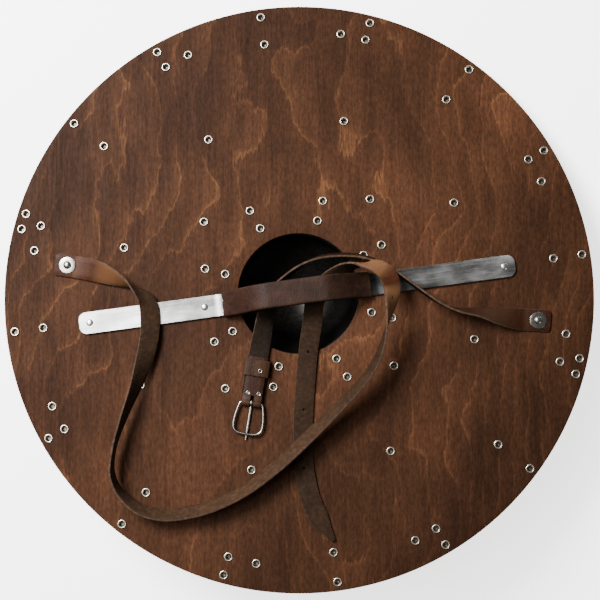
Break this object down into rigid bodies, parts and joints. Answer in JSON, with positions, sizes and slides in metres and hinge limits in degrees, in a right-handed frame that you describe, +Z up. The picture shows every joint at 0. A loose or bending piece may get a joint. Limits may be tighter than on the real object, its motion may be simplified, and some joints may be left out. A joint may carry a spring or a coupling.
{
  "type": "round shield",
  "caption": "Round plywood shield lying face down: hollow domed steel boss over a hand hole, arched steel grip in a leather sleeve, riveted leather straps and a buckle.",
  "frame": {"origin": "centre of the outline, at floor level, with the shield lying face down on its boss and rim", "axes": "+Z up, out of the hand side; +X to the right along the board; +Y up along the board, towards the rim edge that touches the floor"},
  "size_m": [0.8, 0.7878, 0.1652],
  "materials": {
    "stained_wood": "satin",
    "boss_steel": "blackened",
    "bar_steel": "brushed",
    "rivet_steel": "brushed",
    "strap_leather": "matte",
    "wrap_leather": "matte"
  },
  "bodies": {
    "shield": {"board": "stained_wood", "boss": "boss_steel", "grip_bar": "bar_steel", "grip_wrap": "wrap_leather", "bar_rivet_1": "bar_steel", "bar_rivet_2": "bar_steel", "bar_rivet_3": "bar_steel", "bar_rivet_4": "bar_steel", "long_strap": "strap_leather", "long_strap_washer": "rivet_steel", "long_strap_rivet": "rivet_steel", "buckle_strap": "strap_leather", "buckle_strap_washer": "rivet_steel", "buckle_strap_rivet": "rivet_steel", "strap_keeper": "strap_leather", "keeper_rivet": "rivet_steel", "fold_rivet_1": "rivet_steel", "fold_rivet_2": "rivet_steel", "rivet_a_1": "rivet_steel", "rivet_a_2": "rivet_steel", "rivet_a_3": "rivet_steel", "rivet_a_4": "rivet_steel", "rivet_a_5": "rivet_steel", "rivet_a_6": "rivet_steel", "rivet_a_7": "rivet_steel", "rivet_a_8": "rivet_steel", "rivet_b_1": "rivet_steel", "rivet_b_2": "rivet_steel", "rivet_b_3": "rivet_steel", "rivet_b_4": "rivet_steel", "rivet_b_5": "rivet_steel", "rivet_b_6": "rivet_steel", "rivet_b_7": "rivet_steel", "rivet_b_8": "rivet_steel", "rivet_c_1": "rivet_steel", "rivet_c_2": "rivet_steel", "rivet_c_3": "rivet_steel", "rivet_c_4": "rivet_steel", "rivet_d_1": "rivet_steel", "rivet_d_2": "rivet_steel", "rivet_d_3": "rivet_steel", "rivet_d_4": "rivet_steel", "rivet_d_5": "rivet_steel", "rivet_d_6": "rivet_steel", "rivet_d_7": "rivet_steel", "rivet_d_8": "rivet_steel", "rivet_e_1": "rivet_steel", "rivet_e_2": "rivet_steel", "rivet_e_3": "rivet_steel", "rivet_e_4": "rivet_steel", "rivet_f_1": "rivet_steel", "rivet_f_2": "rivet_steel", "rivet_f_3": "rivet_steel", "rivet_f_4": "rivet_steel", "rivet_h_1": "rivet_steel", "rivet_h_2": "rivet_steel", "rivet_h_3": "rivet_steel", "rivet_h_4": "rivet_steel"},
    "buckle": {"buckle_frame": "rivet_steel", "buckle_prong": "rivet_steel"}
  },
  "joints": [
    {"name": "buckle_swing", "type": "hinge", "parent": "shield", "child": "buckle", "pos_m": [-0.0631, -0.14374, 0.11434], "axis": [-0.987, 0.1582, -0.0297], "range_deg": [0, 100]}
  ]
}
